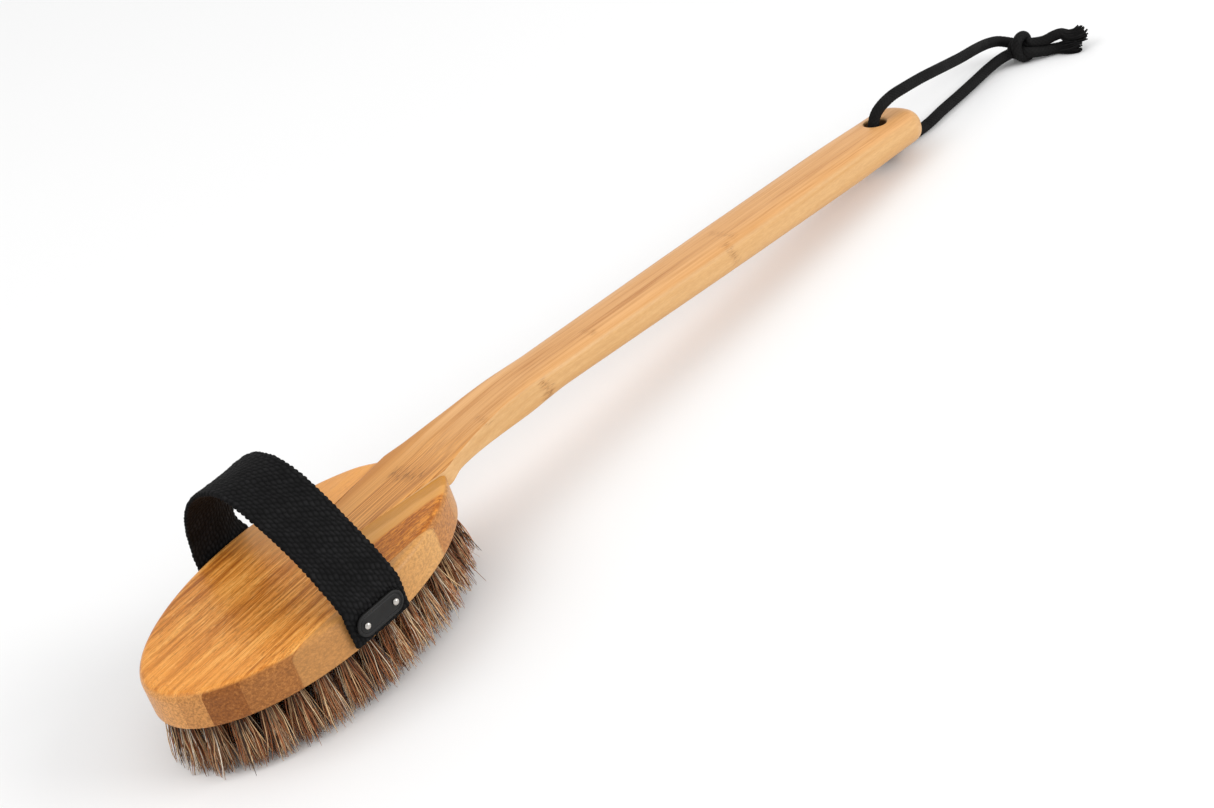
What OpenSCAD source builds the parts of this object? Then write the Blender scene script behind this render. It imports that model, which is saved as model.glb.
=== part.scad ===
// Body dry brush: an oval bamboo head with bristle tufts and a webbing hand strap, and a long
// bamboo handle whose tapered tongue slides into a dovetail groove in the back of the head.
// Head frame: origin at the centre of the head's back, +X along the handle, +Z away from the
// bristles. Every sub-part is modelled there, and lying() sets the brush down on a table.

/* [Head] */
// Length of the oval head
head_l = 130; // [120:1:140]
// Width of the oval head
head_w = 76; // [70:1:80]
// Thickness of the wood
head_t = 14; // [13:0.5:16]
// Height of the rounded edge round the back
edge_h = 3; // [2:0.5:4]

/* [Bristles] */
// Length of bristle that shows below the wood
bristle_l = 20.5; // [18:0.5:24]
// Radius of a tuft hole
tuft_r = 2.3; // [2:0.1:2.4]
// Depth of a tuft hole
tuft_depth = 6; // [5:0.5:6]
// Tufts in the outer ring
outer_tufts = 31; // [28:1:31]
// Tufts in the inner ring
inner_tufts = 25; // [20:1:25]
// Outward lean of the outer ring, in degrees
tuft_lean = 6; // [4:1:7]

/* [Strap] */
// Width of the webbing
strap_w = 25; // [22:1:27]
// Thickness of the webbing
strap_t = 2.2; // [1.8:0.1:2.4]
// Height of the webbing's centre line over the back of the head
strap_h = 37; // [34:1:42]
// Turn of the strap about the upright, in degrees
strap_turn = 3.5; // [0:0.5:4]
// Length of the pill-shaped strap plate
plate_l = 20; // [18:1:22]
// Height of the strap plate
plate_h = 8.2; // [7.6:0.2:8.6]
// Distance between the two screws in a plate
screw_gap = 12.8; // [11:0.2:13]

/* [Handle] */
// Where the rounded end of the handle is, from the centre of the head
handle_end = 363; // [340:1:370]
// Downward pitch of the grip below the back of the head, in degrees
pitch = 7; // [6:0.5:8]
// Half width of the tongue where it leaves the head
tongue_hw = 14.4; // [13:0.2:14.8]
// Thickness of the tongue
tongue_t = 6.8; // [6:0.1:7]
// Taper of each side of the tongue, in degrees
tongue_taper = 10.5; // [8:0.5:11]
// Undercut of the dovetail, in degrees
dovetail = 12; // [8:1:14]
// Thickness of the grip at the neck
grip_t0 = 11.6; // [11:0.2:12.4]
// Thickness of the grip at its end
grip_t1 = 15; // [14:0.2:15.4]
// Radius of the hole for the cord
hole_r = 5; // [4.6:0.1:5.4]

/* [Cord] */
// Diameter of the hanging cord
cord_d = 4.6; // [4:0.1:4.7]

/* [Hidden] */

$fn = 48;
fit = 0.05;                       // clearance of the tongue in its groove
snug = 0.02;                      // clearance of tufts, screws and plates
lay = 0.18;                       // clearance of the webbing from the curved wall
a = head_l / 2;
b = head_w / 2;
tip_z = -head_t - bristle_l;      // plane that the bristles are trimmed to

// ---- Where the brush lies: its toe tufts and, through the cord, its handle end touch the table
bevel = tan(pitch);
function soft(x) = 8 * ln(1 + exp((x - 106) / 8));
function top_z(x) = -bevel * soft(x);
function ease(u) = let (v = min(max(u, 0), 1)) v * v * (3 - 2 * v);
function deep(x) = x < 115 ? tongue_t + (grip_t0 - tongue_t) * ease((x - 65) / 50)
                           : grip_t0 + (grip_t1 - grip_t0) * (x - 115) / (handle_end - 138);
function half_w(x) = x < 105 ? 10.6 + (tongue_hw - 10.6) * pow((105 - x) / 44.6, 2)
                             : 10.6 + 1.3 * ease((x - 105) / 140);
toe_x = -a - 1;
rest_x = handle_end - 7;
rest_z = top_z(rest_x) - deep(rest_x) - cord_d - 0.4;
tilt = atan((tip_z - rest_z) / (rest_x - toe_x));
lift = -toe_x * sin(tilt) - tip_z * cos(tilt);
// half of the length from the toe's bristle tips to the handle's end, to centre the brush on X
low_x = toe_x * cos(tilt) - tip_z * sin(tilt);
high_x = handle_end * cos(tilt) - (top_z(handle_end) - deep(handle_end) / 2) * sin(tilt);
mid_x = (low_x + high_x) / 2;

module lying() {
    translate([-mid_x, 0, lift]) rotate([0, -tilt, 0]) children();
}

// ---- Head
module oval(inset = 0) {
    polygon([for (i = [0:95]) [(a - inset) * cos(i * 3.75), (b - inset) * sin(i * 3.75)]]);
}

// The rounded rim of the back: a quarter circle of radius edge_h, run round the oval
module oval_rim() {
    rings = [for (q = [0:30:90]) let (inset = edge_h * (1 - cos(q)))
        [for (i = [0:95]) [(a - inset) * cos(i * 3.75), (b - inset) * sin(i * 3.75),
                           -edge_h * (1 - sin(q))]]];
    polyhedron(flat(rings), loft_faces(len(rings), 96));
}

tip_r = 6.8;                                             // rounded inner end of the tongue
tip_x = 60.4 - (tongue_hw - tip_r / cos(tongue_taper)) / tan(tongue_taper);

// The tapered dovetail, grown by c on every side that faces the groove
module dovetail_wedge(c, reach) {
    under = tongue_t * tan(dovetail);
    difference() {
        translate([tip_x, -30, -tongue_t - c]) cube([reach - tip_x, 60, tongue_t + c]);
        for (s = [-1, 1])
            translate([tip_x, s * (tip_r / cos(tongue_taper) + c), 0])
                rotate([0, 0, s * tongue_taper]) rotate([s * dovetail, 0, 0])
                    translate([-60, s > 0 ? 0 : -60, -40]) cube([220, 60, 80]);
    }
    translate([tip_x, 0, -tongue_t - c])
        cylinder(h = tongue_t + c, r1 = tip_r + under + c, r2 = tip_r + c);
}

module head_block() {
    color([0.80, 0.55, 0.29]) lying() difference() {
        union() {
            translate([0, 0, -head_t]) linear_extrude(height = head_t - edge_h) oval();
            oval_rim();
        }
        translate([0, 0, 0.01]) dovetail_wedge(fit, a + 20);
        for (q = concat(outer_ring, inner_ring, centre_row, near_row, far_row))
            translate([q[0], q[1], -head_t - 1]) cylinder(h = tuft_depth + 1, r = tuft_r, $fn = 24);
        for (s = [-1, 1]) strap_side(s) for (d = [-1, 1]) screw_at(d)
            rotate([90, 0, 0]) translate([0, 0, -7]) cylinder(h = 14, r = screw_r, $fn = 24);
    }
}

// ---- Tufts: even steps round an ellipse, and straight rows inside
function arc_to(p, q, t) = t <= 0 ? 0
    : norm([p * sin(t - 1), q * cos(t - 1)]) * PI / 180 + arc_to(p, q, t - 1);
function ring(p, q, n) = let (s = [for (t = [0:360]) arc_to(p, q, t)])
    [for (i = [0:n - 1]) let (t = lookup((i + 0.5) * s[360] / n, [for (k = [0:360]) [s[k], k]]))
        [p * cos(t), q * sin(t)]];
function row(n, y) = [for (i = [0:n - 1]) [(i - (n - 1) / 2) * 9.6, y]];

outer_ring = ring(a - 6, b - 6, outer_tufts);
inner_ring = ring(a - 15.4, b - 15.4, inner_tufts);
centre_row = row(9, 0);
near_row = row(6, -8.8);
far_row = row(6, 8.8);

// One tuft: the folded root in its hole and the flared, trimmed bristles below it
module tuft(q, lean) {
    flare = 4.25;
    turn = atan2(q[1] / b, q[0] / a);
    difference() {
        intersection() {
            translate([q[0], q[1], -head_t]) union() {
                translate([0, 0, -0.5])
                    cylinder(h = tuft_depth + 0.3, r = tuft_r - snug, $fn = 24);
                rotate([0, 0, turn]) rotate([0, 180 - lean, 0])
                    cylinder(h = bristle_l + 3, r1 = tuft_r - 0.25, r2 = flare, $fn = 24);
            }
            union() {
                translate([q[0] - 12, q[1] - 12, tip_z]) cube([24, 24, bristle_l - fit]);
                translate([q[0], q[1], tip_z])
                    cylinder(h = bristle_l + tuft_depth, r = tuft_r - snug, $fn = 24);
            }
        }
        translate([q[0], q[1] - 3, staple_z]) rotate([-90, 0, 0])
            cylinder(h = 6, r = staple_r + snug, $fn = 16);
    }
}

staple_r = 0.35;
staple_z = -head_t + tuft_depth - 1.2;

module bristles(list, lean) {
    color([0.42, 0.33, 0.27]) lying() for (q = list) tuft(q, lean);
}
module tuft_ring_outer() { bristles(outer_ring, tuft_lean); }
module tuft_ring_inner() { bristles(inner_ring, tuft_lean / 2); }
module tuft_row_near() { bristles(near_row, 0); }
module tuft_row_centre() { bristles(centre_row, 0); }
module tuft_row_far() { bristles(far_row, 0); }

// The wire staple that anchors each tuft's fold in its hole
module tuft_staples() {
    color([0.75, 0.75, 0.72]) lying()
        for (q = concat(outer_ring, inner_ring, centre_row, near_row, far_row))
            translate([q[0], q[1] - tuft_r + 0.05, staple_z]) rotate([-90, 0, 0])
                cylinder(h = 2 * tuft_r - 0.1, r = staple_r, $fn = 16);
}

// ---- Hand strap, its plates and screws
strap_x = -0.4;                   // middle of the strap along the head
leg_y = b + lay + strap_t / 2;    // centre line of the strap's two legs
leg_low = -12;
plate_t = 1;
plate_z = -6;
screw_r = 0.8;

function bez(p, t) = pow(1 - t, 3) * p[0] + 3 * t * pow(1 - t, 2) * p[1]
    + 3 * t * t * (1 - t) * p[2] + pow(t, 3) * p[3];
// near leg, long slope up to the crown, rounder far shoulder, far leg
near_arch = [[-leg_y, 0], [-leg_y, 4], [-14.5, strap_h - 2.6], [3, strap_h]];
far_arch = [[3, strap_h], [15, strap_h + 1.2], [33, 27], [leg_y, 0]];
strap_line = concat([[-leg_y, leg_low]], [for (i = [0:20]) bez(near_arch, i / 20)],
                    [for (i = [1:20]) bez(far_arch, i / 20)], [[leg_y, leg_low]]);
function side_of(l, i) = let (d = l[min(i + 1, len(l) - 1)] - l[max(i - 1, 0)])
    [-d[1], d[0]] / norm(d);
function band(l, w) = concat([for (i = [0:len(l) - 1]) l[i] + side_of(l, i) * w / 2],
                             [for (i = [len(l) - 1:-1:0]) l[i] - side_of(l, i) * w / 2]);

// Places children on the near (s = -1) or far (s = 1) wall, with -Y pointing out of the wall
module strap_side(s) {
    rotate([0, 0, -strap_turn]) translate([strap_x, 0, plate_z])
        rotate([0, 0, s > 0 ? 180 : 0]) translate([0, -b, 0]) children();
}
module screw_at(d) { translate([d * screw_gap / 2, 0, 0]) children(); }

module hand_strap() {
    color([0.06, 0.06, 0.06]) lying() difference() {
        rotate([0, 0, -strap_turn]) translate([strap_x, 0, 0]) rotate([90, 0, 90])
            linear_extrude(height = strap_w, center = true) polygon(band(strap_line, strap_t));
        for (s = [-1, 1]) strap_side(s) for (d = [-1, 1]) screw_at(d)
            rotate([90, 0, 0]) cylinder(h = 6, r = screw_r + fit, $fn = 24);
    }
}

module strap_plate(s) {
    color([0.10, 0.10, 0.11]) lying() strap_side(s)
        translate([0, -lay - strap_t - snug, 0]) rotate([90, 0, 0])
            difference() {
                union() {
                    translate([-(plate_l - plate_h) / 2, -plate_h / 2, 0])
                        cube([plate_l - plate_h, plate_h, plate_t]);
                    for (d = [-1, 1]) translate([d * (plate_l - plate_h) / 2, 0, 0])
                        cylinder(h = plate_t, r = plate_h / 2);
                }
                for (d = [-1, 1]) screw_at(d)
                    translate([0, 0, -1]) cylinder(h = plate_t + 2, r = screw_r + fit, $fn = 24);
            }
}
module strap_plate_near() { strap_plate(-1); }
module strap_plate_far() { strap_plate(1); }

module strap_screw(s, d) {
    seat = lay + strap_t + 2 * snug + plate_t;
    color([0.82, 0.82, 0.84]) lying() strap_side(s) screw_at(d) rotate([90, 0, 0]) {
        translate([0, 0, -6.5]) cylinder(h = 6.5 + seat + 0.3, r = screw_r - snug, $fn = 24);
        translate([0, 0, seat]) intersection() {
            translate([0, 0, -0.6]) sphere(r = 1.5, $fn = 32);
            cylinder(h = 2, r = 1.3, $fn = 32);
        }
    }
}
module strap_screw_near_toe() { strap_screw(-1, -1); }
module strap_screw_near_heel() { strap_screw(-1, 1); }
module strap_screw_far_toe() { strap_screw(1, 1); }
module strap_screw_far_heel() { strap_screw(1, -1); }

// ---- Handle: a loft of rounded sections along X, with the dovetail tongue at its head end
sides = 32;
neck_x = 60.4;
// crisp edges at the scooped neck, soft ones along the grip
function corner(x) = 10 - 6.6 * ease((x - 80) / 50);
function power(v, n) = sign(v) * pow(abs(v), 2 / n);
function end_w(x) = let (u = (x - handle_end + 12) / 12.2) u > 0 ? sqrt(1 - u * u) : 1;
function end_t(x) = let (u = (x - handle_end + 5) / 5.4) u > 0 ? sqrt(1 - u * u) : 1;
function section(x) = let (w = half_w(x) * end_w(x), h = deep(x) / 2, n = corner(x))
    [for (i = [0:sides - 1]) let (t = (i + 0.5) * 360 / sides)
        [x, w * power(cos(t), n), top_z(x) - h + h * end_t(x) * power(sin(t), n)]];
stations = concat([neck_x, 66, 72], [for (x = [78:6:132]) x], [for (x = [146:20:330]) x],
                  [for (u = [0:7]) handle_end - 12 + 12 * sin(u * 90 / 7)]);

function loft_faces(m, n) = concat(
    [[for (j = [0:n - 1]) j]],
    [for (i = [0:m - 2]) for (j = [0:n - 1]) let (k = (j + 1) % n)
        [i * n + j, (i + 1) * n + j, (i + 1) * n + k, i * n + k]],
    [[for (j = [n - 1:-1:0]) (m - 1) * n + j]]);
function flat(l) = [for (r = l) for (q = r) q];

hole_x = handle_end - 24;

module handle() {
    color([0.87, 0.66, 0.40]) lying() difference() {
        union() {
            polyhedron(flat([for (x = stations) section(x)]), loft_faces(len(stations), sides));
            intersection() {
                dovetail_wedge(0, a);
                translate([0, 0, -20]) linear_extrude(height = 30) oval(0.3);
            }
        }
        translate([hole_x, 0, top_z(hole_x)]) rotate([0, pitch, 0]) {
            translate([0, 0, -30]) cylinder(h = 40, r = hole_r);
            translate([0, 0, -1.6]) cylinder(h = 3.2, r1 = hole_r, r2 = hole_r + 3.2);
            translate([0, 0, -deep(hole_x) - 1.5])
                cylinder(h = 3.2, r1 = hole_r + 3.2, r2 = hole_r);
        }
    }
}

// ---- Hanging cord, in table coordinates with the hole's centre line at X = 0
cord_x = hole_x * cos(tilt) - top_z(hole_x) * sin(tilt) - mid_x;
upper_route = [[-1.7, 0, 13.2], [-1.9, 0, 17], [-1.2, 0, 21], [1.2, -0.4, 24.6], [5.5, -1.2, 26.8],
               [12.5, -1.8, 27.6], [21, -2.4, 27], [31.5, -2.4, 25.5], [42, -2.2, 23.5],
               [53, -1.4, 21], [65, 0.2, 18], [77, 2.5, 15], [86, 4.6, 12.4], [94, 5.8, 10],
               [100, 5, 8], [102.6, 1.2, 6.4], [103.5, -3, 5.2]];
lower_route = [[-1.6, 0, 12.8], [-0.9, 0.3, 9.6], [1.2, 1.2, 6.2], [5, 3.4, 3.5], [10, 4.8, 2.5],
               [18, 4, 2.4], [27, 1.6, 2.4], [36, 0.8, 2.4], [47, 1.3, 2.4], [60, 1.3, 2.4],
               [74, 1.5, 2.4], [85, 1.8, 2.5], [92, 0.6, 3], [95, -3, 4]];
tail_upper_route = [[103, -9.6, 7.6], [106.6, -14.2, 7.6], [109.6, -17.6, 8.4], [111.4, -20.4, 8.6],
                    [111.4, -23.6, 7.8], [112.8, -26.2, 7.3], [116, -27.6, 7.2]];
tail_lower_route = [[98.6, -11, 4.4], [103.6, -15.2, 2.9], [107.6, -18.9, 2.5],
                    [109.4, -23.6, 2.5], [111.6, -28, 2.5]];
knot_at = [100, -7, 6.2];

// A plain tube along a route: up is a direction that the route never runs along
function dir_of(l, i) = let (d = l[min(i + 1, len(l) - 1)] - l[max(i - 1, 0)]) d / norm(d);
function tube_ring(l, i, r, up) =
    let (t = dir_of(l, i), u = cross(t, up), v = u / norm(u), w = cross(v, t))
    [for (j = [0:9]) l[i] + r * (cos(j * 36) * v + sin(j * 36) * w)];
module tube(route, up) {
    color([0.07, 0.07, 0.07]) translate([cord_x, 0, 0])
        polyhedron(flat([for (i = [0:len(route) - 1]) tube_ring(route, i, cord_d / 2, up)]),
                   loft_faces(len(route), 10));
}
module cord_strand_upper() { tube(upper_route, [0, 1, 0]); }
module cord_strand_lower() { tube(lower_route, [0, 1, 0]); }
module cord_tail_upper() { tube(tail_upper_route, [0, 0, 1]); }
module cord_tail_lower() { tube(tail_lower_route, [0, 0, 1]); }
module cord_knot() {
    color([0.07, 0.07, 0.07]) translate([cord_x, 0, 0] + knot_at) rotate([0, 0, 65]) {
        rotate([0, 90, 0]) cylinder(h = 7, r = 6, center = true);
        for (s = [-1, 1]) translate([s * 3.5, 0, 0]) sphere(r = 6);
    }
}

head_block();
tuft_ring_outer();
tuft_ring_inner();
tuft_row_near();
tuft_row_centre();
tuft_row_far();
tuft_staples();
hand_strap();
strap_plate_near();
strap_plate_far();
strap_screw_near_toe();
strap_screw_near_heel();
strap_screw_far_toe();
strap_screw_far_heel();
handle();
cord_strand_upper();
cord_strand_lower();
cord_knot();
cord_tail_upper();
cord_tail_lower();
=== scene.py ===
import math

import bpy
import numpy as np
from mathutils import Matrix, Quaternion, Vector


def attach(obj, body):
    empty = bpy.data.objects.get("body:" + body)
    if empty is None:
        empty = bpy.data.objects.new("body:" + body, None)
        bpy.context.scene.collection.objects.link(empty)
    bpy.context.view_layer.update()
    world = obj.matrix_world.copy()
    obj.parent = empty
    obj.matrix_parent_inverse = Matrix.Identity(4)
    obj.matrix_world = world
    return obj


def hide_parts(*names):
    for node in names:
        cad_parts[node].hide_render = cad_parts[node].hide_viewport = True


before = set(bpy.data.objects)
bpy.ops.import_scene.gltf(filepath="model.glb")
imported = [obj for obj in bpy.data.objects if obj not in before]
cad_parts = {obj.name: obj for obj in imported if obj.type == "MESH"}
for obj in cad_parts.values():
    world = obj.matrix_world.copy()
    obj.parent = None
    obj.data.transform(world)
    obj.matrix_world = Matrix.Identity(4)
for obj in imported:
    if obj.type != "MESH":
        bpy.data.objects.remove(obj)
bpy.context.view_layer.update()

# A body dry brush. Shapes are worked out in millimetres in the head frame (origin at the centre of
# the head's back, +X along the handle, +Z away from the bristles) and laid on the table by lying().
scene = bpy.context.scene
rng = np.random.default_rng(7)
scene.view_settings.view_transform = "Standard"
scene.view_settings.look = "None"

# ---- Sizes in millimetres, the CAD's unless a comment says otherwise
# head and bristles
HALF_L, HALF_W, HEAD_T = 65.0, 38.0, 14.0
EDGE = 3.0  # radius of the back's edge
TUFT_HOLE_R, TUFT_HOLE_DEEP = 2.3, 6.0
BRISTLE_L = 20.5
TIP_Z = -HEAD_T - BRISTLE_L
# strap
STRAP_CUT_W, STRAP_W = 25.0, 24.0  # as sold, which the CAD has, and as it sits
STRAP_T, STRAP_H, LEG_LOW = 2.2, 37.0, -12.0
STRAP_TURN, STRAP_X = -3.5, -0.4  # turn about Z in degrees, and place along the head
WALL_GAP, SNUG = 0.18, 0.02  # gaps under the webbing, and between webbing, plate and screw
# strap plates and screws
PLATE_L, PLATE_H, PLATE_T, PLATE_Z = 20.0, 8.2, 1.0, -6.0
SCREW_GAP, SHANK_R, SHANK_L = 12.8, 0.78, 6.5
# tongue
TONGUE_HW, TONGUE_T, TAPER, DOVETAIL = 14.4, 6.8, math.radians(10.5), math.radians(12)
NECK_X, TIP_R = 60.4, 6.8
TIP_X = NECK_X - (TONGUE_HW - TIP_R / math.cos(TAPER)) / math.tan(TAPER)
# neck, bend and grip
HANDLE_END, PITCH = 363.0, math.radians(7)
THICKEN_X, GRIP_X, GRIP_RUN, GRIP_T0, GRIP_T1 = 65.0, 115.0, 225.0, 11.6, 15.0
WAIST_X, WAIST_HW, SWELL, SWELL_RUN = 105.0, 10.6, 1.3, 140.0
BEND_X, BEND_SOFT = 106.0, 8.0
# hanging hole and cord
HOLE_X, CORD_D = 339.0, 4.6
# in the looks only
FOOT_EDGE = 0.8  # radius of the head's lower edge
SCREW_R, SCREW_DOME = 1.24, 0.92  # radius and height of the screws' domes
HOLE_R, HOLE_EDGE = 4.75, 1.0  # radius of the hanging hole, and of its rounded edges
FAR_HW, FAR_TAPER = 15.3, math.radians(4.6)  # the tongue's far edge, which tapers less
TIP_L = 7.0  # length of the tongue's rounded tip
DROP = 0.85  # depth of the hollow on each side of the tongue
HEEL_DROP = 0.8  # how far the back falls at the heel
SUNK = 0.75  # how far the tongue's top lies below the head's highest part
END_X = HANDLE_END - 2.5  # the rounded end stops this much short of the CAD's


def ease(u):
    """A smooth step from 0 to 1."""
    v = np.clip(u, 0, 1)
    return v * v * (3 - 2 * v)


def top_z(x):
    """Height of the handle's top: level as far as the bend, then falling at PITCH."""
    return -math.tan(PITCH) * BEND_SOFT * np.log1p(np.exp((np.asarray(x, float) - BEND_X) / BEND_SOFT))


def deep(x):
    """The handle's thickness."""
    x = np.asarray(x, float)
    neck = TONGUE_T + (GRIP_T0 - TONGUE_T) * ease((x - THICKEN_X) / (GRIP_X - THICKEN_X))
    return np.where(x < GRIP_X, neck, GRIP_T0 + (GRIP_T1 - GRIP_T0) * (x - GRIP_X) / GRIP_RUN)


def half_w(x):
    """Half the handle's width: it narrows to the waist and swells a little along the grip."""
    x = np.asarray(x, float)
    neck = WAIST_HW + (TONGUE_HW - WAIST_HW) * ((WAIST_X - x) / (WAIST_X - NECK_X)) ** 2
    return np.where(x < WAIST_X, neck, WAIST_HW + SWELL * ease((x - WAIST_X) / SWELL_RUN))


# ---- How the brush lies: on the toe's bristle tips, and on the cord under the handle's end
TOE_X, REST_X = -HALF_L - 1, HANDLE_END - 7
REST_Z = float(top_z(REST_X) - deep(REST_X)) - CORD_D - 0.4
TILT = math.atan((TIP_Z - REST_Z) / (REST_X - TOE_X))
SIN, COS = math.sin(TILT), math.cos(TILT)
LIFT = -TOE_X * SIN - TIP_Z * COS
MID_X = (TOE_X * COS - TIP_Z * SIN + HANDLE_END * COS
         - float(top_z(HANDLE_END) - deep(HANDLE_END) / 2) * SIN) / 2
CORD_X = HOLE_X * COS - float(top_z(HOLE_X)) * SIN - MID_X  # the hole's top in the row frame


def lying(points):
    """Head frame in millimetres to the row frame in metres."""
    p = np.asarray(points, float)
    return np.stack([p[..., 0] * COS - p[..., 2] * SIN - MID_X, p[..., 1],
                     p[..., 0] * SIN + p[..., 2] * COS + LIFT], -1) / 1000


def turn_z(points, degrees):
    """Points turned about the head frame's Z."""
    s, c = math.sin(math.radians(degrees)), math.cos(math.radians(degrees))
    p = np.asarray(points, float)
    return np.stack([p[..., 0] * c - p[..., 1] * s, p[..., 0] * s + p[..., 1] * c, p[..., 2]], -1)


# ---- Mesh helpers
def piece(name, points, faces, sharp=None):
    """A mesh object from points in metres; edges over sharp degrees stay crisp."""
    data = bpy.data.meshes.new(name)
    data.from_pydata(np.asarray(points, float).reshape(-1, 3).tolist(), [], faces)
    data.validate()
    data.shade_smooth()
    if sharp is not None:
        data.set_sharp_from_angle(angle=math.radians(sharp))
    obj = bpy.data.objects.new(name, data)
    scene.collection.objects.link(obj)
    return obj


def tube_faces(m, n, first=0):
    """Faces of m rings of n points, closed at both ends; first is the first point's number."""
    def at(i, j):
        return first + i * n + j % n

    walls = [(at(i, j), at(i, j + 1), at(i + 1, j + 1), at(i + 1, j)) for i in range(m - 1) for j in range(n)]
    return walls + [tuple(at(0, j) for j in reversed(range(n))), tuple(at(m - 1, j) for j in range(n))]


def loft(name, rings, sharp=None):
    """A closed mesh over rings of points in metres."""
    rings = np.asarray(rings, float)
    return piece(name, rings, tube_faces(rings.shape[0], rings.shape[1]), sharp)


def cut(obj, tools, sharp):
    """Takes the tools out of obj and removes them; edges over sharp degrees stay crisp."""
    for tool in tools:
        step = obj.modifiers.new("cut", "BOOLEAN")
        step.solver, step.operation, step.object = "EXACT", "DIFFERENCE", tool
    graph = bpy.context.evaluated_depsgraph_get()
    graph.update()
    made = bpy.data.meshes.new_from_object(obj.evaluated_get(graph))
    obj.modifiers.clear()
    old, obj.data = obj.data, made
    bpy.data.meshes.remove(old)
    for tool in tools:
        bpy.data.objects.remove(tool)
    obj.data.shade_smooth()
    obj.data.set_sharp_from_angle(angle=math.radians(sharp))


def running(line):
    """Length along the line at each of its points."""
    return np.concatenate([[0], np.cumsum(np.linalg.norm(np.diff(line, axis=0), axis=1))])


def resample(line, step):
    """The line at even steps of about step."""
    run = running(line)
    at = np.linspace(0, run[-1], max(3, int(round(run[-1] / step)) + 1))
    return np.stack([np.interp(at, run, line[:, k]) for k in range(line.shape[1])], 1)


def smooth_line(points, step):
    """A smooth curve through points (Catmull-Rom), resampled."""
    p = np.asarray(points, float)
    p = np.vstack([2 * p[0] - p[1], p, 2 * p[-1] - p[-2]])
    t = np.linspace(0, 1, 24, endpoint=False)[:, None]
    out = [0.5 * (2 * b + (c - a) * t + (2 * a - 5 * b + 4 * c - d) * t ** 2
                  + (3 * b - a - 3 * c + d) * t ** 3) for a, b, c, d in zip(p, p[1:], p[2:], p[3:])]
    return resample(np.vstack([*out, p[-2][None]]), step)


def frames_along(line, start_up):
    """Tangents and two turning-free normals along a line."""
    tangent = np.gradient(line, axis=0)
    tangent /= np.linalg.norm(tangent, axis=1)[:, None]
    side = np.cross(tangent[0], start_up)
    side /= np.linalg.norm(side)
    first = []
    for t in tangent:
        side = side - (side @ t) * t
        side /= np.linalg.norm(side)
        first.append(side)
    first = np.array(first)
    return tangent, first, np.cross(tangent, first)


def length_of(line):
    return float(np.linalg.norm(np.diff(line, axis=0), axis=1).sum())


def rings_round(line, radius, first, second, theta):
    """Rings of points round a line whose normals are first and second."""
    return (line[:, None] + (radius * np.cos(theta))[..., None] * first[:, None]
            + (radius * np.sin(theta))[..., None] * second[:, None])


def circle(n):
    return np.linspace(0, 2 * math.pi, n, endpoint=False)


# ---- Camera, at the photograph's viewing angle
CAMERA_AT, LENS = (-0.53455, -0.59911, 0.45823), 74.135
HEADING, DOWN, ROLL = math.radians(48.0977), math.radians(29.4759), math.radians(17.3631)


def make_camera():
    data = bpy.data.cameras.new("camera")
    data.sensor_width, data.lens = 36, LENS
    data.clip_start, data.clip_end = 0.01, 10
    camera = bpy.data.objects.new("camera", data)
    scene.collection.objects.link(camera)
    ahead = Vector((math.cos(DOWN) * math.cos(HEADING), math.cos(DOWN) * math.sin(HEADING), -math.sin(DOWN)))
    right = Vector((math.sin(HEADING), -math.cos(HEADING), 0))
    right.rotate(Quaternion(ahead, ROLL))
    turned = Matrix((right, right.cross(ahead), -ahead)).transposed().to_4x4()
    camera.matrix_world = Matrix.Translation(CAMERA_AT) @ turned
    scene.camera = camera


make_camera()


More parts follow.
